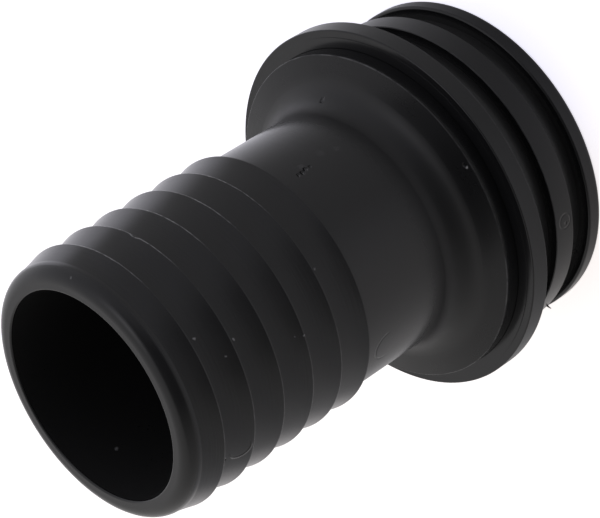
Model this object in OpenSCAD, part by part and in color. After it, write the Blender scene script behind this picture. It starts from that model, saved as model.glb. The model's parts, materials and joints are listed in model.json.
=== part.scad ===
// Straight hose connector: a one-piece moulded pipe fitting for a suction or
// delivery hose. A barbed tail takes the hose at one end. At the other end a
// grooved spigot pushes into a socket: one groove takes the retaining fork,
// the other takes a sealing ring.
//
// The part stands on its spigot's end face. The end face is at z = 0, the
// axis is +Z, and the mouth of the hose tail is at the top.

/* [Overall] */

// Length from the spigot's end face to the mouth of the hose tail
total_l = 102; // [96:0.5:120]

/* [Mouth] */

// Wall between the tail's bore and the root of the barbs
tail_wall = 3.85; // [3.4:0.05:4.6]
// Width of the mouth's flat front face, from the bore outwards
mouth_face_w = 1.6; // [1.2:0.1:2]
// Radius of the round lip outside the front face
lip_r = 2.75; // [2:0.05:3]

/* [Barbs] */

// Number of barbs on the tail
barb_n = 6; // [3:1:6]
// Crest diameter of the barbs
barb_d = 52.8; // [52:0.1:54]
// Root diameter of the barbs
barb_root_d = 49.7; // [48:0.1:50]
// Distance from the mouth to the first crest
first_crest = 7.55; // [6:0.05:9]
// Distance from one crest to the next
barb_pitch = 7.35; // [6:0.05:7.5]
// Width of the narrow land on each crest
crest_land = 0.25; // [0.1:0.05:0.6]
// Axial length of the steep face behind each crest
barb_back = 0.3; // [0.1:0.05:1]
// Radius of the slight hollow along each ramp
ramp_hollow_r = 53; // [40:1:90]

/* [Neck and flare] */

// Rise of the plain neck above the root of the barbs, in radius
neck_rise = 0.1; // [0.05:0.05:0.4]
// Diameter of the rim where the flare ends
rim_d = 68.2; // [62:0.1:70]
// Angle between the flare and the axis
flare_angle = 76; // [60:1:80]
// Radius of the fillet between the neck and the flare
flare_fillet_r = 5.8; // [3:0.1:8]
// Length of the collar between the rim and the flange
collar_l = 3.1; // [2:0.1:4]
// Radius on the edge of the rim
rim_edge_r = 0.15; // [0.05:0.05:0.6]

/* [Flange] */

// Diameter of the flange
flange_d = 75.4; // [73:0.1:80]
// Thickness of the flange
flange_t = 4.1; // [3:0.1:5]
// Width of the ring round the flange's front face, outside its fine step
flange_ring_w = 1.5; // [0.5:0.1:2.5]
// Height of the fine step in the flange's front face
flange_step_h = 0.12; // [0.05:0.01:0.3]
// Radius on the front edge of the flange
flange_edge_r = 0.3; // [0.1:0.05:0.8]

/* [Spigot] */

// Diameter of the rib and of the end ring, which fit the socket
spigot_d = 66.8; // [64:0.1:68]
// Width of the groove that takes the retaining fork
fork_groove_w = 8.05; // [6:0.05:9]
// Floor diameter of the groove that takes the retaining fork
fork_groove_d = 62.5; // [58:0.1:64]
// Width of the rib between the two grooves
rib_w = 4.95; // [3:0.05:6]
// Width of the groove that takes the sealing ring
seal_groove_w = 4.75; // [3:0.05:5]
// Floor diameter of the groove that takes the sealing ring
seal_groove_d = 61.5; // [58:0.1:63]
// Width of the end ring
end_ring_w = 3.7; // [3:0.05:5]
// Radius on the outer edge of the end face
end_edge_r = 1.2; // [0.5:0.1:2]
// Radius on the edges of the rib and the grooves
groove_edge_r = 0.3; // [0.1:0.05:0.5]

/* [Inside of the spigot] */

// Bore of the spigot
spigot_bore_d = 50; // [46:0.5:52]
// Depth of the spigot's bore from the end face
spigot_bore_l = 25.5; // [24:0.5:28]
// Length of the taper from the spigot's bore to the tail's bore
bore_taper_l = 9.5; // [8:0.5:12]
// Chamfer at the mouth of the spigot's bore
bore_chamfer = 0.8; // [0.3:0.1:1.5]

/* [Quality] */

// Number of facets round the part in the preview
round_fn = 180; // [48:12:240]

/* [Hidden] */

// Overlap that joins one stretch of the outline to the next
lap = 1;

// Half sizes, because the outline is drawn from the axis outwards
barb_r = barb_d / 2;
barb_root_r = barb_root_d / 2;
neck_r = barb_root_r + neck_rise;
tail_bore_r = barb_root_r - tail_wall;
mouth_face_r = tail_bore_r + mouth_face_w;
rim_r = rim_d / 2;
flange_r = flange_d / 2;
spigot_r = spigot_d / 2;
fork_groove_r = fork_groove_d / 2;
seal_groove_r = seal_groove_d / 2;
spigot_bore_r = spigot_bore_d / 2;

// Heights of the spigot's steps, counted up from the end face
seal_groove_z = end_ring_w;
rib_z = seal_groove_z + seal_groove_w;
fork_groove_z = rib_z + rib_w;
flange_z = fork_groove_z + fork_groove_w;
flange_top_z = flange_z + flange_t;
rim_z = flange_top_z + collar_l;

// Height where the flare's cone would meet the neck without its fillet
flare_top_z = rim_z + (rim_r - neck_r) / tan(flare_angle);

// Height of the lip's widest ring, and of the last crest's lower edge
lip_z = total_l - lip_r;
last_crest_z = total_l - first_crest - (barb_n - 1) * barb_pitch;
neck_top_z = last_crest_z - barb_back;

// Depth of the taper's upper end, where the tail's own bore starts
tail_bore_z = spigot_bore_l + bore_taper_l;

// Height of one crest's lower edge, the first being the one by the mouth
function crest_z(i) = total_l - first_crest - i * barb_pitch;

// Unit vector from one point to another
function unit(a, b) = (b - a) / norm(b - a);

// Centre of a circle through two points, on the right of the way from a to b
function hollow_centre(a, b, r) =
    let (half = norm(b - a) / 2, u = unit(a, b))
    (a + b) / 2 + [u[1], -u[0]] * sqrt(r * r - half * half);

// The piece between a corner and the arc that blends its two edges. Added to
// an inner corner it is a fillet, and taken off an outer corner it is a round.
// It laps over the corner itself, into what it is joined to or cut from.
module corner_piece(corner, end_a, end_b, r) {
    u = unit(corner, end_a);
    v = unit(corner, end_b);
    half_angle = acos(u * v) / 2;
    reach = r / tan(half_angle);
    bisector = (u + v) / norm(u + v);
    difference() {
        polygon([corner - bisector * lap, corner + u * reach, corner + v * reach]);
        translate(corner + bisector * r / sin(half_angle))
            circle(r = r, $fn = round_fn);
    }
}

// Turns an outline about the axis
module turned() {
    rotate_extrude($fn = round_fn)
        children();
}

// A barb: a slightly hollow ramp that widens from its upper end down to the
// crest, with the crest's narrow land and steep back face below it
module barb(top_r, top_z, low_z) {
    crest = [barb_r, low_z + crest_land];
    top = [top_r, top_z];
    turned()
        difference() {
            polygon([
                [barb_root_r - lap, top_z],
                top,
                crest,
                [barb_r, low_z],
                [barb_root_r, low_z - barb_back],
                [barb_root_r - lap, low_z - barb_back]
            ]);
            translate(hollow_centre(crest, top, ramp_hollow_r))
                circle(r = ramp_hollow_r, $fn = 4 * round_fn);
        }
}

// The mouth: a flat front face that rolls over into a round lip
module lip() {
    turned()
        union() {
            translate([tail_bore_r, lip_z - lap])
                square([mouth_face_r - tail_bore_r, lip_r + lap]);
            translate([mouth_face_r, lip_z])
                circle(r = lip_r, $fn = round_fn);
        }
}

// The hose tail: a tube with the lip at its mouth, one ramp from the lip to
// the first crest, and then a ramp from the foot of each crest to the next
module hose_tail() {
    translate([0, 0, rim_z])
        cylinder(r = barb_root_r, h = lip_z - rim_z, $fn = round_fn);
    lip();
    barb(mouth_face_r + lip_r, lip_z, crest_z(0));
    for (i = [1 : barb_n - 1]) {
        barb(barb_root_r, crest_z(i - 1) - barb_back, crest_z(i));
    }
}

// The plain neck, and the flare down to the collar that ends in the rim
module flare() {
    foot = [neck_r, flare_top_z];
    rim = [rim_r, rim_z];
    translate([0, 0, rim_z])
        cylinder(r = neck_r, h = neck_top_z - rim_z, $fn = round_fn);
    turned()
        difference() {
            polygon([
                [tail_bore_r, flange_top_z - lap],
                [rim_r, flange_top_z - lap],
                rim,
                foot,
                [tail_bore_r, flare_top_z]
            ]);
            corner_piece(rim, foot, [rim_r, flange_top_z], rim_edge_r);
        }
    turned()
        corner_piece(foot, [neck_r, neck_top_z], rim, flare_fillet_r);
}

// The flange. Its flat front face drops by a fine step to the ring round it
module flange() {
    ring_in = [flange_r - flange_ring_w, flange_top_z - flange_step_h];
    ring_out = [flange_r, flange_top_z - flange_step_h];
    low = [flange_r, flange_z];
    turned()
        difference() {
            polygon([
                [tail_bore_r, flange_z],
                low,
                ring_out,
                ring_in,
                [flange_r - flange_ring_w, flange_top_z],
                [tail_bore_r, flange_top_z]
            ]);
            corner_piece(ring_out, ring_in, low, flange_edge_r);
        }
}

// One ring of the spigot between two heights, with its outer edges rounded
module ring(low_z, high_z, low_edge_r) {
    low = [spigot_r, low_z];
    high = [spigot_r, high_z];
    turned()
        difference() {
            translate([tail_bore_r, low_z])
                square([spigot_r - tail_bore_r, high_z - low_z]);
            corner_piece(low, [tail_bore_r, low_z], high, low_edge_r);
            corner_piece(high, [tail_bore_r, high_z], low, groove_edge_r);
        }
}

// The spigot: the end ring, the sealing groove, the rib and the fork's groove
module spigot() {
    ring(0, seal_groove_z, end_edge_r);
    translate([0, 0, seal_groove_z - lap])
        cylinder(r = seal_groove_r, h = seal_groove_w + 2 * lap, $fn = round_fn);
    ring(rib_z, fork_groove_z, groove_edge_r);
    translate([0, 0, fork_groove_z - lap])
        cylinder(r = fork_groove_r, h = fork_groove_w + 2 * lap, $fn = round_fn);
}

// What is open inside: the spigot's bore with its chamfer, the taper above it,
// and the tail's bore
module bores() {
    turned()
        polygon([
            [0, -lap],
            [spigot_bore_r + bore_chamfer + lap, -lap],
            [spigot_bore_r, bore_chamfer],
            [spigot_bore_r, spigot_bore_l],
            [tail_bore_r, tail_bore_z],
            [tail_bore_r, total_l + lap],
            [0, total_l + lap]
        ]);
}

// The whole connector, one moulding
module hose_connector() {
    color("#2a2a2c")
        difference() {
            union() {
                hose_tail();
                flare();
                flange();
                spigot();
            }
            bores();
        }
}

hose_connector();
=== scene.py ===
"""Looks of a straight hose connector: one black moulding, turned about its axis.

The part stands on its spigot's end face at z = 0 and the mouth of the hose tail
is at the top. Every size in the dataclasses is in millimetres; the meshes are in
metres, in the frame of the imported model.
"""

import json
import logging
import math
from dataclasses import dataclass, field
from enum import Enum

import bpy
import numpy as np
from mathutils import Matrix

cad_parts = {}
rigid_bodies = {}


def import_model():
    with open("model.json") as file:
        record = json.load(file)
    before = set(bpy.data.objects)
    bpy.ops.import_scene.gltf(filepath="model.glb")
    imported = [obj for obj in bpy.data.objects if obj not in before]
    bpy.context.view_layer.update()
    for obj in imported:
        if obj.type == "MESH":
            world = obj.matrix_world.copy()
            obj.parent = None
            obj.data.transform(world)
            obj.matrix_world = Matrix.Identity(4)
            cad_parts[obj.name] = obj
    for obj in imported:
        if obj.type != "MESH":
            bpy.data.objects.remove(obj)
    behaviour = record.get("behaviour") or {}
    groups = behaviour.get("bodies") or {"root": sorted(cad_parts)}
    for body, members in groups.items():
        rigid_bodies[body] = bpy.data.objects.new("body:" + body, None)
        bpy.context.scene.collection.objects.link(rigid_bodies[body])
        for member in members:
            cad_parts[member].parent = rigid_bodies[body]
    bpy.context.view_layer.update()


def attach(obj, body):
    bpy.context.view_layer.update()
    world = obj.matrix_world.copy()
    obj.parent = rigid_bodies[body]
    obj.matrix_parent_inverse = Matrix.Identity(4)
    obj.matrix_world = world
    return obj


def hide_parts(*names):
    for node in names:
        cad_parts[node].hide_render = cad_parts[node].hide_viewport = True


LOG = logging.getLogger("hose_connector")
MM = 0.001
NODE = "hose_connector"
BODY = "root"
# Reach towards the warm side at which the light turns from cool to warm
TINT_SIDE = (-0.7, 0.7)


class Zone(Enum):
    """Stretches of the outline, each with the surface its part of the mould left."""

    MOUTH = 0
    BARBS = 1
    NECK = 2
    FLARE = 3
    FLANGE = 4
    SPIGOT = 5
    INSIDE = 6


@dataclass(frozen=True)
class Corner:
    """One corner of the outline: its radius, height and round, in millimetres.

    The sag is how far the stretch that follows it is hollowed.
    """

    r: float
    z: float
    zone: Zone
    round_r: float = 0.0
    sag: float = 0.0

    def place(self) -> np.ndarray:
        """Returns the corner as an array of radius and height."""
        return np.array([self.r, self.z])


@dataclass
class HoseTail:
    """The mouth, the six barbs and the plain neck."""

    total_l: float = 102.0
    bore_r: float = 21.0
    face_r: float = 22.6
    lip_r: float = 2.75
    barb_n: int = 6
    barb_r: float = 26.4
    root_r: float = 24.85
    first_crest: float = 7.55
    pitch: float = 7.35
    land: float = 0.25
    back: float = 0.3
    ramp_hollow_r: float = 53.0
    neck_r: float = 24.95
    bore_edge_r: float = 0.4
    lip_foot: float = 0.2
    lip_foot_r: float = 1.2
    ramp_foot_r: float = 0.25
    land_top_r: float = 0.1
    land_low_r: float = 0.07
    neck_top_r: float = 0.2

    def crest_z(self, i: int) -> float:
        """Returns the height of the lower edge of crest i, the first by the mouth."""
        return self.total_l - self.first_crest - i * self.pitch

    def ramp_sag(self, low_r: float, high_z: float, low_z: float) -> float:
        """Depth of a ramp's hollow: the rise of an arc over half its chord.

        Args:
            low_r: Radius at the ramp's upper, narrow end.
            high_z: Height of that end.
            low_z: Height of the crest's upper edge.

        Returns:
            The sagitta of the arc, in millimetres.
        """
        half = math.hypot(self.barb_r - low_r, high_z - low_z) / 2
        return self.ramp_hollow_r - math.sqrt(self.ramp_hollow_r**2 - half**2)

    def corners(self) -> list[Corner]:
        """Returns the outline from the bore's edge at the mouth to the neck's top."""
        top = self.total_l
        lip_z = top - self.lip_r
        lip_out = self.face_r + self.lip_r
        out = [
            Corner(self.bore_r, top, Zone.MOUTH, self.bore_edge_r),
            Corner(lip_out, top, Zone.MOUTH, self.lip_r),
        ]
        start_r, start_z, foot_r = lip_out, lip_z - self.lip_foot, self.lip_foot_r
        for i in range(self.barb_n):
            low = self.crest_z(i)
            sag = self.ramp_sag(start_r, start_z, low + self.land)
            out += [
                Corner(start_r, start_z, Zone.BARBS, foot_r, sag),
                Corner(self.barb_r, low + self.land, Zone.BARBS, self.land_top_r),
                Corner(self.barb_r, low, Zone.BARBS, self.land_low_r),
            ]
            start_r, start_z, foot_r = self.root_r, low - self.back, self.ramp_foot_r
        out.append(Corner(self.neck_r, start_z, Zone.NECK, self.neck_top_r))
        return out


@dataclass
class Flare:
    """The flare from the neck to the rim, and the collar under the rim."""

    neck_r: float = 24.95
    rim_r: float = 34.1
    rim_z: float = 28.65
    angle: float = 76.0
    fillet_r: float = 5.8
    rim_edge_r: float = 0.15

    def corners(self) -> list[Corner]:
        """Returns the outline from the flare's foot on the neck to the rim."""
        foot_z = self.rim_z + (self.rim_r - self.neck_r) / math.tan(
            math.radians(self.angle)
        )
        return [
            Corner(self.neck_r, foot_z, Zone.FLARE, self.fillet_r),
            Corner(self.rim_r, self.rim_z, Zone.FLARE, self.rim_edge_r),
        ]


@dataclass
class Flange:
    """The flange, with a fine step in its front face."""

    rim_r: float = 34.1
    r: float = 37.7
    low_z: float = 21.45
    top_z: float = 25.55
    step_r: float = 36.2
    step_h: float = 0.12
    corner_r: float = 0.3
    edge_r: float = 0.12
    crease_w: float = 0.08
    crease_h: float = 0.12

    def corners(self) -> list[Corner]:
        """Returns the outline from the collar's foot to the flange's rear edge.

        The collar's foot ends in a crease, a narrow slot that shows as a dark line.
        """
        zone = Zone.FLANGE
        ring_z = self.top_z - self.step_h
        foot_r = self.rim_r + self.crease_w
        return [
            Corner(self.rim_r, self.top_z - self.crease_h, zone),
            Corner(foot_r, self.top_z - self.crease_h, zone),
            Corner(foot_r, self.top_z, zone),
            Corner(self.step_r, self.top_z, zone),
            Corner(self.step_r, ring_z, zone),
            Corner(self.r, ring_z, zone, self.corner_r),
            Corner(self.r, self.low_z, zone, self.edge_r),
        ]


@dataclass
class Spigot:
    """The fork's groove, the rib, the sealing groove and the end ring."""

    r: float = 33.4
    fork_groove_r: float = 31.25
    seal_groove_r: float = 30.75
    flange_z: float = 21.45
    fork_groove_z: float = 13.4
    rib_z: float = 8.45
    seal_groove_z: float = 3.7
    edge_r: float = 0.25
    end_edge_r: float = 1.2
    end_ring_edge_r: float = 0.55
    root_r: float = 0.0

    def corners(self) -> list[Corner]:
        """Returns the outline from the flange's rear face to the end face."""
        zone = Zone.SPIGOT
        return [
            Corner(self.fork_groove_r, self.flange_z, zone, self.root_r),
            Corner(self.fork_groove_r, self.fork_groove_z, zone, self.root_r),
            Corner(self.r, self.fork_groove_z, zone, self.edge_r),
            Corner(self.r, self.rib_z, zone, self.edge_r),
            Corner(self.seal_groove_r, self.rib_z, zone, self.root_r),
            Corner(self.seal_groove_r, self.seal_groove_z, zone, self.root_r),
            Corner(self.r, self.seal_groove_z, zone, self.end_ring_edge_r),
            Corner(self.r, 0.0, zone, self.end_edge_r),
        ]


@dataclass
class Inside:
    """The spigot's bore, its chamfer and the taper to the tail's bore."""

    tail_r: float = 21.0
    spigot_r: float = 25.0
    chamfer: float = 0.8
    bore_l: float = 25.5
    taper_l: float = 9.5
    edge_r: float = 0.2
    taper_round_r: float = 1.5

    def corners(self) -> list[Corner]:
        """Returns the outline from the end face up to the tail's bore."""
        zone = Zone.INSIDE
        return [
            Corner(self.spigot_r + self.chamfer, 0.0, zone, self.edge_r),
            Corner(self.spigot_r, self.chamfer, zone, self.edge_r),
            Corner(self.spigot_r, self.bore_l, zone, self.taper_round_r),
            Corner(self.tail_r, self.bore_l + self.taper_l, zone, self.taper_round_r),
        ]


@dataclass
class Outline:
    """A closed outline of rounded corners, sampled for turning.

    The steps along a stretch are in millimetres. The steps on an arc, and half
    the angle above which a corner counts as straight, are in degrees.
    """

    corners: list[Corner]
    guard: float = 0.02
    step: float = 1.6
    hollow_step: float = 0.7
    arc_step: float = 11.0
    straight: float = 89.9

    def arcs(self) -> list[tuple[np.ndarray, Corner]]:
        """Rounds each corner with the circle that touches both of its edges.

        The arc's ends lie at radius / tan(half the corner's angle) along each
        edge, and its points turn evenly between the two touching directions.

        Returns:
            For each corner the points of its arc, and the corner.
        """
        out = []
        count = len(self.corners)
        for i, corner in enumerate(self.corners):
            here = corner.place()
            back = self.corners[i - 1].place() - here
            ahead = self.corners[(i + 1) % count].place() - here
            back_u, ahead_u = back / np.linalg.norm(back), ahead / np.linalg.norm(ahead)
            half = math.acos(float(np.clip(back_u @ ahead_u, -1, 1))) / 2
            if corner.round_r <= 0 or half > math.radians(self.straight):
                out.append((here[None, :], corner))
                continue
            bisector = (back_u + ahead_u) / np.linalg.norm(back_u + ahead_u)
            centre = here + bisector * corner.round_r / math.sin(half)
            reach = corner.round_r / math.tan(half)
            a = here + back_u * reach - centre
            b = here + ahead_u * reach - centre
            turn = math.pi - 2 * half
            steps = max(2, math.ceil(turn / math.radians(self.arc_step)))
            t = np.linspace(0, 1, steps + 1)[:, None]
            points = (np.sin((1 - t) * turn) * a + np.sin(t * turn) * b) / math.sin(turn)
            out.append((centre + points, corner))
        return out

    def sample(self) -> tuple[np.ndarray, np.ndarray]:
        """Joins the arcs with straight or slightly hollow stretches.

        A stretch from p to q is p + t (q - p), moved inwards along its normal by
        4 sag t (1 - t). Its first and last steps are short, so that the shading
        of a long wall isn't bent by the arc beside it.

        Returns:
            The points as radius and height, and the zone number of each.
        """
        arcs = self.arcs()
        points, zones = [], []
        for i, (arc, corner) in enumerate(arcs):
            ahead = arcs[(i + 1) % len(arcs)][0][0]
            points.append(arc)
            zones.append(np.full(len(arc), corner.zone.value))
            run = ahead - arc[-1]
            length = float(np.linalg.norm(run))
            if length < 4 * self.guard:
                continue
            step = self.hollow_step if corner.sag else self.step
            inner = max(1, math.ceil(length / step))
            t = np.concatenate(
                [
                    [self.guard / length],
                    np.arange(1, inner) / inner,
                    [1 - self.guard / length],
                ]
            )[:, None]
            normal = np.array([run[1], -run[0]]) / length
            points.append(arc[-1] + t * run + normal * 4 * corner.sag * t * (1 - t))
            zones.append(np.full(len(t), corner.zone.value))
        return np.concatenate(points), np.concatenate(zones)


@dataclass
class Connector:
    """The whole moulding, as one closed surface turned about the axis."""

    tail: HoseTail = field(default_factory=HoseTail)
    flare: Flare = field(default_factory=Flare)
    flange: Flange = field(default_factory=Flange)
    spigot: Spigot = field(default_factory=Spigot)
    inside: Inside = field(default_factory=Inside)
    turns: int = 200

    def outline(self) -> Outline:
        """Returns the closed outline: down the outside and up the inside."""
        parts = (self.tail, self.flare, self.flange, self.spigot, self.inside)
        return Outline([corner for part in parts for corner in part.corners()])

    def build(self) -> bpy.types.Object:
        """Turns the outline about the axis.

        A point of the surface is (r cos a, r sin a, z), where r and z follow the
        outline and a goes evenly round the axis. Both directions close on
        themselves, so the surface has no seam and no pole.

        Returns:
            The new object, linked to the scene.
        """
        profile, zones = self.outline().sample()
        angle = np.arange(self.turns) * (2 * math.pi / self.turns)
        r, z = profile[:, 0][:, None], profile[:, 1][:, None]
        grid = np.stack(
            [r * np.cos(angle), r * np.sin(angle), z * np.ones_like(angle)], axis=-1
        )
        rows, cols = grid.shape[:2]
        index = np.arange(rows * cols).reshape(rows, cols)
        down = np.roll(index, -1, axis=0)
        quads = np.stack(
            [index, down, np.roll(down, -1, axis=1), np.roll(index, -1, axis=1)], axis=-1
        ).reshape(-1, 4)
        mesh = surface_mesh("connector_body", grid.reshape(-1, 3) * MM, quads)
        zone = mesh.attributes.new("zone", "FLOAT", "POINT")
        zone.data.foreach_set("value", np.repeat(zones, cols).astype(np.float32))
        steps = np.linalg.norm(np.diff(profile, axis=0), axis=1)
        way = np.concatenate([[0.0], np.cumsum(steps)])
        along = mesh.attributes.new("along", "FLOAT", "POINT")
        along.data.foreach_set("value", np.repeat(way, cols).astype(np.float32))
        body = bpy.data.objects.new("connector_body", mesh)
        bpy.context.scene.collection.objects.link(body)
        LOG.info("connector body: %d by %d points", rows, cols)
        return body


@dataclass
class Burr:
    """A small drooping curl of flash at the rib's lower edge, in millimetres."""

    azimuth: float = 190.5
    r: float = 33.0
    z: float = 8.62
    length: float = 1.25
    width: float = 0.5
    droop: float = 0.35
    tip: float = 0.25
    flatness: float = 0.6
    rows: int = 8

    def build(self) -> bpy.types.Object:
        """Sweeps a four-sided section outwards along a drooping line.

        With t from 0 to 1 the section's middle is at radius r + length t and
        height z - droop t squared. Its size falls evenly from 1 to the tip's
        share, its height is the flatness times its width, and each end is closed
        by one face.

        Returns:
            The new object, linked to the scene.
        """
        t = np.linspace(0, 1, self.rows)
        out = np.array(heading(self.azimuth, 0))
        side = np.array(heading(self.azimuth + 90, 0))
        up = np.array([0.0, 0.0, 1.0])
        lift = self.flatness * up
        middle = np.outer(self.r + self.length * t, out)
        middle += np.outer(self.z - self.droop * t**2, up)
        size = self.width / 2 * (1 - (1 - self.tip) * t)
        corners = np.array([side + lift, -side + lift, -side - lift, side - lift])
        grid = middle[:, None, :] + size[:, None, None] * corners[None]
        index = np.arange(self.rows * len(corners)).reshape(self.rows, -1)
        near, far = index[:-1], index[1:]
        walls = np.stack([near, np.roll(near, -1, 1), np.roll(far, -1, 1), far], axis=-1)
        quads = np.concatenate([walls.reshape(-1, 4), index[:1, ::-1], index[-1:]])
        mesh = surface_mesh("burr", grid.reshape(-1, 3) * MM, quads)
        burr = bpy.data.objects.new("burr", mesh)
        bpy.context.scene.collection.objects.link(burr)
        LOG.info("burr: %d points", index.size)
        return burr


def surface_mesh(name: str, points: np.ndarray, quads: np.ndarray) -> bpy.types.Mesh:
    """Makes a smooth mesh of whole arrays of points and quads.

    Args:
        name: Name of the mesh.
        points: One row of x, y and z for each vertex, in metres.
        quads: One row of four vertex numbers for each face.

    Returns:
        The mesh, shaded smooth.
    """
    mesh = bpy.data.meshes.new(name)
    mesh.vertices.add(len(points))
    mesh.vertices.foreach_set("co", points.astype(np.float32).ravel())
    mesh.loops.add(quads.size)
    mesh.loops.foreach_set("vertex_index", quads.astype(np.int32).ravel())
    mesh.polygons.add(len(quads))
    mesh.polygons.foreach_set("loop_start", np.arange(0, quads.size, 4, dtype=np.int32))
    mesh.polygons.foreach_set("use_smooth", np.ones(len(quads), dtype=bool))
    mesh.update(calc_edges=True)
    mesh.validate()
    return mesh


@dataclass(frozen=True)
class Glow:
    """A round light or shade in the tent: its direction, level and sharpness.

    It also gives the place, rise and sharpness of the kink in a line of flash.
    """

    azimuth: float
    elevation: float
    level: float
    sharpness: float


class Signal:
    """A value that varies over a surface: a node's socket, with arithmetic on numbers."""

    def __init__(self, nodes: "NodeBench", socket: object) -> None:
        """Keeps the socket and the bench it is on."""
        self.nodes = nodes
        self.socket = socket

    def _with(self, kind: str, *others: object) -> "Signal":
        """Returns a Math node's output of this value and the others."""
        inputs = {i: value for i, value in enumerate((self, *others))}
        return self.nodes.add("ShaderNodeMath", {"operation": kind}, inputs)

    def __add__(self, other: object) -> "Signal":
        """Returns the sum."""
        return self._with("ADD", other)

    __radd__ = __add__

    def __mul__(self, other: object) -> "Signal":
        """Returns the product."""
        return self._with("MULTIPLY", other)

    __rmul__ = __mul__

    def __sub__(self, other: object) -> "Signal":
        """Returns this value less the other."""
        return self._with("SUBTRACT", other)

    def __rsub__(self, other: float) -> "Signal":
        """Returns the other value less this one."""
        return (self * -1) + other

    def __truediv__(self, other: object) -> "Signal":
        """Returns this value divided by the other."""
        return self._with("DIVIDE", other)

    def __abs__(self) -> "Signal":
        """Returns the size of the value, without its sign."""
        return self._with("ABSOLUTE")

    def clamp(self) -> "Signal":
        """Returns the value held between 0 and 1."""
        return self._with("MAXIMUM", 0.0)._with("MINIMUM", 1.0)

    def fraction(self) -> "Signal":
        """Returns what is left of the value above the whole number below it."""
        return self._with("FRACT")

    def smooth(self, low: float, high: float) -> "Signal":
        """Returns 0 at low and 1 at high, with a smooth step between them."""
        return self.nodes.add(
            "ShaderNodeMapRange",
            {"interpolation_type": "SMOOTHSTEP"},
            {"Value": self, "From Min": low, "From Max": high},
        )


class NodeBench:
    """Adds the nodes of one material or of the world."""

    def __init__(self, tree: bpy.types.NodeTree) -> None:
        """Empties the tree and keeps it."""
        tree.nodes.clear()
        self.tree = tree

    def add(
        self, kind: str, settings: dict | None = None, inputs: dict | None = None
    ) -> Signal:
        """Adds one node and returns its first live output.

        Args:
            kind: The node's type.
            settings: The node's own choices, which are set first.
            inputs: Values or links of its sockets, by name or number.

        Returns:
            The first output that is on, or the node itself if it has none.
        """
        node = self.tree.nodes.new(kind)
        for name, value in (settings or {}).items():
            setattr(node, name, value)
        for key, value in (inputs or {}).items():
            socket = node.inputs[key]
            if isinstance(value, Signal):
                self.tree.links.new(value.socket, socket)
            else:
                socket.default_value = value
        live = [s for s in node.outputs if s.enabled]
        return Signal(self, live[0] if live else node)

    def pick(self, signal: Signal, name: str) -> Signal:
        """Returns another output of the node that a signal comes from."""
        return Signal(self, signal.socket.node.outputs[name])

    def measure(self, kind: str, *vectors: object) -> Signal:
        """Returns a Vector Math node's number for one or two vectors."""
        node = self.add("ShaderNodeVectorMath", {"operation": kind}, dict(enumerate(vectors)))
        return self.pick(node, "Value")

    def dot(self, vector: Signal, axis: tuple[float, float, float]) -> Signal:
        """Returns how far a vector reaches along an axis."""
        return self.measure("DOT_PRODUCT", vector, axis)

    def lobe(self, vector: Signal, glow: Glow) -> Signal:
        """A round glow: level times e to the power sharpness (cosine - 1).

        Args:
            vector: The direction it is looked up in.
            glow: Its middle, its level there and how narrow it is.

        Returns:
            The level in the middle, falling off all round.
        """
        fall = (self.dot(vector, heading(glow.azimuth, glow.elevation)) - 1) * glow.sharpness
        return self.add("ShaderNodeMath", {"operation": "EXPONENT"}, {0: fall}) * glow.level

    def blend(self, first: object, second: object, share: Signal) -> Signal:
        """Mixes two colours.

        Args:
            first: The colour where the share is 0, as a signal or three numbers.
            second: The colour where the share is 1.
            share: How much of the second colour there is.

        Returns:
            The mixed colour.
        """
        pair = [c if isinstance(c, Signal) else (*c, 1.0) for c in (first, second)]
        return self.add("ShaderNodeMix", {"data_type": "RGBA"}, {0: share, 6: pair[0], 7: pair[1]})


class Skin:
    """Where a point of the surface is on the part, in millimetres."""

    ragged_scale: float = 1.1
    ragged_reach: float = 0.45
    streak_round: float = 1.7
    streak_along: float = 2.4

    def __init__(self, bench: NodeBench) -> None:
        """Reads the place, the radius, the height, the way along the outline and the zone."""
        where = bench.pick(bench.add("ShaderNodeTexCoord"), "Object")
        scale = {"operation": "SCALE"}
        self.place = bench.add("ShaderNodeVectorMath", scale, {0: where, "Scale": 1 / MM})
        flat = {"operation": "MULTIPLY"}
        across = bench.add("ShaderNodeVectorMath", flat, {0: self.place, 1: (1, 1, 0)})
        self.outward = bench.add("ShaderNodeVectorMath", {"operation": "NORMALIZE"}, {0: across})
        self.r = bench.measure("LENGTH", across)
        self.z = bench.dot(self.place, (0, 0, 1))
        along = bench.add("ShaderNodeAttribute", {"attribute_name": "along"})
        zone = bench.add("ShaderNodeAttribute", {"attribute_name": "zone"})
        self.along = bench.pick(along, "Fac")
        self.zone = bench.pick(zone, "Fac")
        self.bent = self.ragged(bench)

    def ragged(self, bench: NodeBench) -> Signal:
        """Returns the place moved a little at random, so that marks aren't round.

        Args:
            bench: The material's nodes.

        Returns:
            The place, moved by less than the ragged reach each way.
        """
        reach = self.ragged_reach
        inputs = {"Vector": self.place, "Scale": self.ragged_scale}
        noise = bench.add("ShaderNodeTexNoise", inputs=inputs)
        inputs = {0: bench.pick(noise, "Color"), 1: (2 * reach,) * 3, 2: (-reach,) * 3}
        shift = bench.add("ShaderNodeVectorMath", {"operation": "MULTIPLY_ADD"}, inputs)
        return bench.add("ShaderNodeVectorMath", {"operation": "ADD"}, {0: self.place, 1: shift})

    def streaked(self, bench: NodeBench) -> Signal:
        """Returns a place that changes fast along the outline and slowly round the part."""
        east = bench.dot(self.outward, (1, 0, 0)) * self.streak_round
        north = bench.dot(self.outward, (0, 1, 0)) * self.streak_round
        along = self.along * self.streak_along
        return bench.add("ShaderNodeCombineXYZ", inputs={0: east, 1: north, 2: along})


class MarkKind(Enum):
    """What a small mark on the moulding is."""

    PIN_RING = "ring left by a pin of the mould"
    SPECK = "pale speck"
    NICK = "dark nick"


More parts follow.
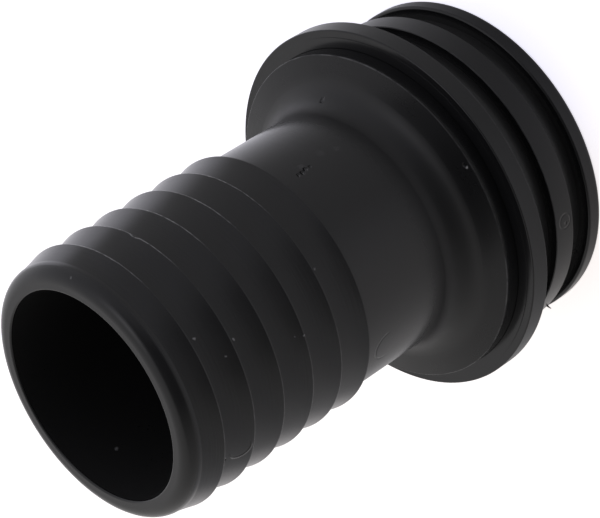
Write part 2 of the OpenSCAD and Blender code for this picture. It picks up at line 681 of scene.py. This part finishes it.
@dataclass(frozen=True)
class Mark:
    """A small mark on the surface: its place and size, in degrees and millimetres.

    A negative strength makes a ring that stands up. Only the side of a ring that
    lies towards its shown side is there.
    """

    kind: MarkKind
    azimuth: float
    z: float
    r: float
    size: float
    strength: float = 1.0
    shown_side: tuple[float, float, float] | None = None

    def place(self) -> tuple[float, float, float]:
        """Returns the mark's middle as x, y and z in millimetres."""
        a = math.radians(self.azimuth)
        return (self.r * math.cos(a), self.r * math.sin(a), self.z)


@dataclass(frozen=True)
class EdgeLine:
    """A fine line round the part, at one edge of the outline.

    The highlight-gap share of it is missing on the side towards the camera. The line is partly
    flash and partly a painted highlight, which is left out there.
    """

    r: float
    z: float
    width: float
    strength: float = 1.0
    highlight_gap: float = 0.0


@dataclass(frozen=True)
class Texture:
    """A noise on the surface: its scale and detail, and what it does there.

    The height is in millimetres of bump, the roughness is how much it varies the
    surface's own, and the edges are the levels where a patch fades in.
    """

    scale: float
    detail: float
    height: float = 0.0
    roughness: float = 0.0
    edges: tuple[float, float] = (0.0, 1.0)


MARKS = (
    Mark(MarkKind.PIN_RING, 212.1, 51.0, 24.95, 3.1, 1.2, (0.0, 0.0, 1.0)),
    Mark(MarkKind.PIN_RING, 212.7, 89.8, 25.5, 2.2, -1.6, (-0.5, 0.8, -0.3)),
    Mark(MarkKind.NICK, 210.0, 92.9, 25.1, 0.4, 0.5),
    Mark(MarkKind.PIN_RING, 233.25, 10.75, 33.4, 1.45, 1.3),
    Mark(MarkKind.NICK, 232.4, 10.65, 33.4, 0.4, 0.5),
    Mark(MarkKind.NICK, 303.2, 52.9, 24.95, 0.45, 0.6),
    Mark(MarkKind.NICK, 303.4, 51.9, 24.95, 0.6),
    Mark(MarkKind.NICK, 303.7, 50.8, 24.95, 0.6, 0.9),
    Mark(MarkKind.NICK, 304.1, 49.6, 24.95, 0.45, 0.6),
    Mark(MarkKind.SPECK, 306.0, 50.9, 24.95, 0.9, 0.07),
    Mark(MarkKind.SPECK, 307.1, 45.6, 24.95, 1.3, 0.035),
    Mark(MarkKind.SPECK, 304.9, 42.2, 24.95, 1.1, 0.04),
    Mark(MarkKind.NICK, 335.0, 31.9, 26.17, 0.7, 0.6),
    Mark(MarkKind.SPECK, 267.3, 92.8, 24.95, 0.4, 0.9),
    Mark(MarkKind.SPECK, 259.0, 85.9, 24.95, 0.36, 0.8),
    Mark(MarkKind.SPECK, 255.5, 89.4, 25.9, 0.28, 0.5),
    Mark(MarkKind.SPECK, 245.5, 72.6, 26.4, 0.4, 0.7),
    Mark(MarkKind.SPECK, 246.8, 74.3, 25.8, 0.25, 0.4),
    Mark(MarkKind.SPECK, 265.0, 63.9, 24.95, 0.3, 0.5),
    Mark(MarkKind.SPECK, 267.5, 28.89, 33.12, 0.45, 1.0),
    Mark(MarkKind.NICK, 268.7, 28.95, 32.9, 0.45, 0.6),
    Mark(MarkKind.SPECK, 321.0, 101.2, 24.6, 0.35, 0.35),
    Mark(MarkKind.SPECK, 120.5, 92.9, 21.0, 0.6, 0.8),
)


@dataclass(frozen=True)
class MouldedPlastic:
    """Black polypropylene as it leaves a mould: very dark, with a soft sheen.

    A pair of numbers holds the two ends of a soft step. On a side it is measured
    by the cosine from that side's azimuth, and elsewhere in millimetres, but for
    the zone's, which is in zone numbers. The grooves and bore are painted a paler
    colour, which is painted light. The pale lines on the crests and edges are
    partly flash and partly painted highlight, left out on the side towards the camera.
    """

    name: str = "moulded_black"
    colour: tuple[float, float, float] = (0.0095, 0.0095, 0.0104)
    # Paler colour painted in the grooves and bore: painted light where shade falls.
    hollow_painted_light_colour: tuple[float, float, float] = (0.026, 0.026, 0.0265)
    # Pale lines on the crests and edges, partly flash and partly painted highlight; the pale
    # specks share it.
    flash_and_highlight_colour: tuple[float, float, float] = (0.3, 0.3, 0.31)
    roughness: float = 0.2
    fillet_roughness: float = 0.42
    flare_roughness: float = 0.28
    ior: float = 1.5
    dull_ior: float = 1.4
    deep_roughness: float = 0.3
    marks: tuple[Mark, ...] = MARKS
    tail: HoseTail = field(default_factory=HoseTail)
    # The pale crest and edge lines are left out on the side towards the camera and dimmed on
    # another side: painted highlight, following the light.
    no_highlight_azimuth: float = 268.0
    dim_highlight_azimuth: float = 215.0
    highlight_dimming: float = 0.72
    no_highlight_side: tuple[float, float] = (0.8, 0.93)
    no_highlight_rim: tuple[float, float] = (0.7, 0.93)
    dim_highlight_side: tuple[float, float] = (-0.2, 0.6)
    flash_crests: int = 5
    flash_line: tuple[float, float] = (0.02, 0.17)
    flash_depth: tuple[float, float] = (0.35, 0.15)
    flash_end: tuple[float, float] = (2.0, 1.0)
    flash_wander: float = 0.25
    flash_least: float = 0.2
    flash_patchy: float = 0.6
    kink_crest: int = 1
    kink_band: tuple[float, float] = (2.0, 2.5)
    kink: Glow = Glow(317.5, 0.0, 0.3, 1400.0)
    # Pale lines along the rim, flange and rib edges: partly flash, partly painted highlight.
    flash_and_highlight_edges: tuple[EdgeLine, ...] = (
        EdgeLine(34.05, 28.62, 0.28, 0.34, 0.7),
        EdgeLine(37.7, 21.45, 0.26, 0.16),
        EdgeLine(33.4, 13.35, 0.26, 0.12),
    )
    line_core: float = 0.3
    ring_width: float = 0.35
    ring_side: tuple[float, float] = (-0.3, 0.5)
    ring_depth: float = 0.07
    speck_height: float = 0.05
    nick_depth: float = 0.35
    streaks: Texture = Texture(1.0, 2.0, height=0.007)
    grain: Texture = Texture(1.3, 3.0, height=0.0025, roughness=0.06)
    waves: Texture = Texture(0.11, 1.0, height=0.05, roughness=0.08)
    wander: Texture = Texture(9.0, 3.0)
    crest_patches: Texture = Texture(0.9, 2.0, edges=(0.35, 0.65))
    edge_patches: Texture = Texture(11.0, 4.0, edges=(0.3, 0.65))
    flash_height: float = 0.03
    groove_r: tuple[float, float] = (31.6, 32.6)
    groove_z: tuple[float, float] = (21.6, 22.2)
    inside_zone: tuple[float, float] = (Zone.INSIDE.value - 0.6, Zone.INSIDE.value - 0.1)
    collar_z: tuple[float, float] = (28.0, 28.5)
    fillet_z: tuple[float, float] = (34.0, 42.0)
    outer_r: tuple[float, float] = (28.0, 31.0)

    def noise(self, bench: NodeBench, where: Signal, texture: Texture) -> Signal:
        """Returns smooth noise about 0.5 over a vector, to the texture's scale."""
        inputs = {"Vector": where, "Scale": texture.scale, "Detail": texture.detail}
        return bench.add("ShaderNodeTexNoise", inputs=inputs)

    def patches(self, bench: NodeBench, where: Signal, texture: Texture) -> Signal:
        """Returns patches of 1 on 0 over a vector, with the texture's soft edges."""
        return self.noise(bench, where, texture).smooth(*texture.edges)

    def edge(self, skin: Skin, line: EdgeLine) -> Signal:
        """Returns the line's strength at its edge, and 0 beyond its width."""
        away = abs(skin.r - line.r) + abs(skin.z - line.z)
        return (1 - away.smooth(line.width * self.line_core, line.width)) * line.strength

    def crest_flash_and_highlight(self, bench: NodeBench, skin: Skin) -> Signal:
        """Pale, slightly irregular line of flash along the first five crests.

        Each line lies where the height comes back by whole pitches. It is partly
        flash and partly a painted highlight: it is left out on the side towards the
        camera, at the no-highlight azimuth, and dimmed on the side at the dim-highlight
        azimuth, and it has one kink on the second crest.

        Args:
            bench: The plastic's nodes.
            skin: Where on the part each point is.

        Returns:
            How much of the surface is flash: 0 beside the lines.
        """
        tail = self.tail
        wander = (self.noise(bench, skin.outward, self.wander) - 0.5) * self.flash_wander
        near_kink = 1 - abs(skin.z - tail.crest_z(self.kink_crest)).smooth(*self.kink_band)
        kink = bench.lobe(skin.outward, self.kink)
        top = wander + kink * near_kink + (tail.crest_z(0) + tail.land / 2)
        phase = ((top - skin.z) / tail.pitch + 0.5).fraction() - 0.5
        line = 1 - abs(phase * tail.pitch).smooth(*self.flash_line)
        line = line * skin.r.smooth(*(tail.barb_r - depth for depth in self.flash_depth))
        low = tail.crest_z(self.flash_crests - 1)
        line = line * skin.z.smooth(*(low - end for end in self.flash_end))
        # Painted highlight: the lines are left out towards the camera and dimmed on another side.
        highlight_gap = bench.dot(skin.outward, heading(self.no_highlight_azimuth, 0)).smooth(*self.no_highlight_side)
        dimmed_highlight = bench.dot(skin.outward, heading(self.dim_highlight_azimuth, 0)).smooth(*self.dim_highlight_side)
        patch = self.patches(bench, skin.place, self.crest_patches)
        line = line * (1 - highlight_gap) * (1 - dimmed_highlight * self.highlight_dimming)
        return line * (patch * self.flash_patchy + self.flash_least)

    def spots(self, bench: NodeBench, skin: Skin) -> tuple[Signal, Signal]:
        """Adds up the small marks.

        Args:
            bench: The plastic's nodes.
            skin: Where on the part each point is.

        Returns:
            How pale they make the surface, and their height in millimetres.
        """
        pale, height = skin.z * 0.0, skin.z * 0.0
        for mark in self.marks:
            if mark.kind is MarkKind.PIN_RING:
                away = bench.measure("DISTANCE", skin.place, mark.place())
                line = 1 - abs(away - mark.size).smooth(0.0, self.ring_width)
                if mark.shown_side:
                    middle = float(np.dot(mark.shown_side, mark.place()))
                    reach = bench.dot(skin.place, mark.shown_side) - middle
                    line = line * reach.smooth(*(end * mark.size for end in self.ring_side))
                height = height - line * (self.ring_depth * mark.strength)
                continue
            away = bench.measure("DISTANCE", skin.bent, mark.place())
            spot = (1 - away.smooth(mark.size * self.line_core, mark.size)) * mark.strength
            if mark.kind is MarkKind.SPECK:
                pale = pale + spot
                height = height + spot * self.speck_height
            else:
                height = height - spot * self.nick_depth
        return pale, height

    def flash(self, bench: NodeBench, skin: Skin) -> Signal:
        """Pale flash on the crests and along the other edges that have some.

        Args:
            bench: The plastic's nodes.
            skin: Where on the part each point is.

        Returns:
            How much of the surface is flash and painted highlight.
        """
        patch = self.patches(bench, skin.outward, self.edge_patches)
        flash = self.crest_flash_and_highlight(bench, skin)
        # Painted highlight: the edge lines are left out on the side towards the camera.
        highlight_gap = bench.dot(skin.outward, heading(self.no_highlight_azimuth, 0)).smooth(*self.no_highlight_rim)
        for line in self.flash_and_highlight_edges:
            flash = flash + self.edge(skin, line) * (1 - highlight_gap * line.highlight_gap) * patch
        return flash

    def material(self) -> bpy.types.Material:
        """Returns the material: a sheen, and a duller one on the outer flare."""
        material = bpy.data.materials.new(self.name)
        material.use_nodes = True
        bench = NodeBench(material.node_tree)
        skin = Skin(bench)
        streak = self.noise(bench, skin.streaked(bench), self.streaks)
        grain = self.noise(bench, skin.place, self.grain)
        wave = self.noise(bench, skin.place, self.waves)
        pale, height = self.spots(bench, skin)
        flash = self.flash(bench, skin)
        groove = (1 - skin.r.smooth(*self.groove_r)) * (1 - skin.z.smooth(*self.groove_z))
        deep = (groove + skin.zone.smooth(*self.inside_zone)).clamp()
        # Painted light: the grooves and bore get a paler colour than the rest.
        colour = bench.blend(self.colour, self.hollow_painted_light_colour, deep)
        # Pale lines on crests and edges, partly flash and partly painted highlight; the specks are
        # the part's own.
        colour = bench.blend(colour, self.flash_and_highlight_colour, (flash + pale).clamp())
        upper = skin.z.smooth(*self.collar_z)
        flare = (1 - skin.z.smooth(*self.fillet_z)) * upper
        outer = skin.r.smooth(*self.outer_r) * upper
        rough = flare * (self.fillet_roughness - self.roughness) + self.roughness
        rough = rough + flare * outer * (self.flare_roughness - self.fillet_roughness)
        rough = rough + deep * (self.deep_roughness - self.roughness)
        rough = rough + (grain - 0.5) * self.grain.roughness + (wave - 0.5) * self.waves.roughness
        height = height + streak * upper * self.streaks.height + grain * self.grain.height
        height = height + wave * self.waves.height + flash * self.flash_height
        bump = bench.add("ShaderNodeBump", inputs={"Distance": MM, "Height": height})
        skin_looks = {"Base Color": colour, "Roughness": rough.clamp(), "Normal": bump}
        sheen, dull = (
            bench.add("ShaderNodeBsdfPrincipled", inputs={**skin_looks, "IOR": ior})
            for ior in (self.ior, self.dull_ior)
        )
        both = bench.add("ShaderNodeMixShader", inputs={0: outer, 1: sheen, 2: dull})
        bench.add("ShaderNodeOutputMaterial", inputs={"Surface": both})
        return material


@dataclass(frozen=True)
class PaleFloor:
    """A white floor that keeps the part's shadow.

    The camera sees it lifted to white. The part's own reflections see the lit
    table that it stands for: brightest behind the part on the right, paler at
    the left and in front, and lit close to the part. A pair of numbers holds the
    two ends of a soft step, in metres, or for a side as the cosine from its
    heading.
    """

    name: str = "pale_floor"
    colour: tuple[float, float, float] = (0.9, 0.9, 0.9)
    lift: float = 0.8
    cool: tuple[float, float, float] = (0.975, 0.965, 1.1)
    warm: tuple[float, float, float] = (1.06, 1.0, 0.98)
    warm_heading: float = 165.0
    right_level: float = 0.58
    right_heading: float = 110.0
    right_edge: tuple[float, float] = (-0.05, 0.05)
    right_end: tuple[float, float] = (-0.05, 0.03)
    left_level: float = 0.34
    left_heading: float = 113.0
    left_side: tuple[float, float] = (0.8, 1.0)
    left_edge: tuple[float, float] = (0.05, 0.13)
    front_level: float = 0.16
    front_heading: float = 205.0
    front_side: tuple[float, float] = (0.1, 0.9)
    front_start: tuple[float, float] = (0.045, 0.075)
    front_end: tuple[float, float] = (0.15, 0.35)
    near_level: float = 0.28
    near_heading: float = 190.0
    near_side: tuple[float, float] = (-0.5, 0.6)
    near_edge: tuple[float, float] = (0.036, 0.056)

    def table(self, bench: NodeBench) -> Signal:
        """How much brighter the floor is in the part's reflections.

        Args:
            bench: The floor's nodes.

        Returns:
            The glow to add, over the floor.
        """
        where = bench.pick(bench.add("ShaderNodeTexCoord"), "Object")
        away = bench.measure("LENGTH", where)
        outward = bench.add("ShaderNodeVectorMath", {"operation": "NORMALIZE"}, {0: where})
        right = bench.dot(where, heading(self.right_heading, 0)).smooth(*self.right_edge)
        right = right * bench.dot(where, (1, 0, 0)).smooth(*self.right_end)
        left = bench.dot(outward, heading(self.left_heading, 0)).smooth(*self.left_side)
        left = left * away.smooth(*self.left_edge)
        front = bench.dot(outward, heading(self.front_heading, 0)).smooth(*self.front_side)
        front = front * away.smooth(*self.front_start) * (1 - away.smooth(*self.front_end))
        near = bench.dot(outward, heading(self.near_heading, 0)).smooth(*self.near_side)
        near = near * (1 - away.smooth(*self.near_edge))
        glow = right * self.right_level + left * self.left_level
        return glow + front * self.front_level + near * self.near_level

    def material(self) -> bpy.types.Material:
        """Returns a matt white, which the camera sees lifted to full white."""
        material = bpy.data.materials.new(self.name)
        material.use_nodes = True
        bench = NodeBench(material.node_tree)
        camera = bench.add("ShaderNodeLightPath")
        glossy = bench.pick(camera, "Is Glossy Ray")
        where = bench.pick(bench.add("ShaderNodeTexCoord"), "Object")
        outward = bench.add("ShaderNodeVectorMath", {"operation": "NORMALIZE"}, {0: where})
        side = bench.dot(outward, heading(self.warm_heading, 0)).smooth(*TINT_SIDE)
        matt = bench.add("ShaderNodeBsdfDiffuse", inputs={"Color": (*self.colour, 1.0)})
        glow = bench.add(
            "ShaderNodeEmission",
            inputs={
                "Color": bench.blend(self.cool, self.warm, side),
                "Strength": camera * self.lift + glossy * self.table(bench),
            },
        )
        both = bench.add("ShaderNodeAddShader", inputs={0: matt, 1: glow})
        bench.add("ShaderNodeOutputMaterial", inputs={"Surface": both})
        return material


def heading(azimuth: float, elevation: float) -> tuple[float, float, float]:
    """Unit vector from the part towards a place in the studio.

    Args:
        azimuth: Angle from +X round to +Y, in degrees.
        elevation: Angle above the floor, in degrees.

    Returns:
        The vector's x, y and z.
    """
    a, e = math.radians(azimuth), math.radians(elevation)
    return (math.cos(a) * math.cos(e), math.sin(a) * math.cos(e), math.sin(e))


@dataclass
class Studio:
    """The white tent, its dark opening round the camera, the floor and camera.

    Places and lengths are in metres, but for the lens and its sensor, which are
    in millimetres. The opening's heights are in degrees, and its width is the
    reach of a unit vector across it.
    """

    place: tuple[float, float, float] = (0.00072, -0.39539, 0.3225)
    across: tuple[float, float, float] = (-0.5359, -0.4815, -0.6935)
    up: tuple[float, float, float] = (0.8443, -0.3056, -0.4402)
    back: tuple[float, float, float] = (0.0, -0.8214, 0.5703)
    lens: float = 153.5
    sensor_width: float = 36.0
    clip: tuple[float, float] = (0.01, 50.0)
    floor_rings: tuple[float, ...] = (1e-4, 0.1, 0.5)
    floor_turns: int = 64
    tent_level: float = 0.52
    cool: tuple[float, float, float] = (0.99, 0.985, 1.05)
    warm: tuple[float, float, float] = (1.02, 1.0, 0.99)
    warm_heading: float = 165.0
    opening_azimuth: float = 252.0
    opening_depth: float = 0.42
    opening_width: tuple[float, float] = (0.27, 1.04)
    opening_low: tuple[float, float] = (-20.0, 4.0)
    opening_high: tuple[float, float] = (68.0, 87.0)
    glows: tuple[Glow, ...] = (
        Glow(68.0, 0.0, 0.3, 6.0),
        Glow(338.0, 70.0, 0.7, 38.0),
        Glow(90.0, 65.0, 0.09, 2.5),
        Glow(125.0, -5.0, 0.12, 9.0),
        Glow(180.0, 8.0, -0.1, 4.0),
        Glow(325.0, -8.0, -0.1, 8.0),
    )

    def camera(self) -> bpy.types.Object:
        """Places the camera as the photograph's fitted circles give it."""
        data = bpy.data.cameras.new("studio_camera")
        data.sensor_fit = "HORIZONTAL"
        data.sensor_width = self.sensor_width
        data.lens = self.lens
        data.clip_start, data.clip_end = self.clip
        turn = Matrix((self.across, self.up, self.back)).transposed().to_4x4()
        camera = bpy.data.objects.new("studio_camera", data)
        camera.matrix_world = Matrix.Translation(self.place) @ turn
        bpy.context.scene.collection.objects.link(camera)
        bpy.context.scene.camera = camera
        return camera

    def opening(self, bench: NodeBench, where: Signal) -> Signal:
        """How far a direction lies in the tent's dark opening.

        The opening is an upright slot in the tent, round the camera: its width
        is measured across the slot's own plane, and its height as an angle in
        that plane.

        Args:
            bench: The world's nodes.
            where: The direction.

        Returns:
            1 in the opening and 0 on the tent.
        """
        forward = bench.dot(where, heading(self.opening_azimuth, 0))
        across = abs(bench.dot(where, heading(self.opening_azimuth + 90, 0)))
        up = bench.dot(where, (0, 0, 1))
        angle = bench.add("ShaderNodeMath", {"operation": "ARCTAN2"}, {0: up, 1: forward})
        angle = angle * (180 / math.pi)
        high = 1 - angle.smooth(*self.opening_high)
        return (1 - across.smooth(*self.opening_width)) * angle.smooth(*self.opening_low) * high

    def tent(self) -> bpy.types.World:
        """Lights the part from all round, but for the opening round the camera."""
        world = bpy.data.worlds.new("white_tent")
        bpy.context.scene.world = world
        world.use_nodes = True
        bench = NodeBench(world.node_tree)
        camera = bench.add("ShaderNodeLightPath")
        where = bench.add("ShaderNodeTexCoord")
        level = self.tent_level - self.opening(bench, where) * self.opening_depth
        for glow in self.glows:
            level = level + bench.lobe(where, glow)
        strength = level * (1 - camera) + camera
        side = bench.dot(where, heading(self.warm_heading, 0)).smooth(*TINT_SIDE)
        tint = bench.blend(bench.blend(self.cool, self.warm, side), (1.0, 1.0, 1.0), camera)
        shine = bench.add("ShaderNodeBackground", inputs={"Color": tint, "Strength": strength})
        bench.add("ShaderNodeOutputWorld", inputs={"Surface": shine})
        return world

    def floor(self) -> bpy.types.Object:
        """Lays a round floor that the part stands on: r (cos a, sin a) at height 0.

        Returns:
            The floor.
        """
        angle = np.linspace(0, 2 * math.pi, self.floor_turns, endpoint=False)
        ring = np.stack([np.cos(angle), np.sin(angle), np.zeros_like(angle)], axis=-1)
        radii = np.array(self.floor_rings)
        grid = radii[:, None, None] * ring[None]
        index = np.arange(len(radii) * self.floor_turns).reshape(len(radii), -1)
        low, high = index[:-1], index[1:]
        quads = np.stack(
            [low, high, np.roll(high, -1, axis=1), np.roll(low, -1, axis=1)], axis=-1
        ).reshape(-1, 4)
        mesh = surface_mesh("floor", grid.reshape(-1, 3), quads)
        floor = bpy.data.objects.new("floor", mesh)
        floor.data.materials.append(PaleFloor().material())
        bpy.context.scene.collection.objects.link(floor)
        return floor


def main() -> None:
    """Builds the part and its studio, in order, and reports each piece."""
    logging.basicConfig(level=logging.INFO, format="%(name)s: %(message)s")
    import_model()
    scene = bpy.context.scene
    scene.view_settings.view_transform = "Standard"
    studio = Studio()
    studio.camera()
    studio.tent()
    studio.floor()
    plastic = MouldedPlastic().material()
    for piece in (Connector().build(), Burr().build()):
        piece.data.materials.append(plastic)
        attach(piece, BODY)
        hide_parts(NODE)


if __name__ == "__main__":
    main()
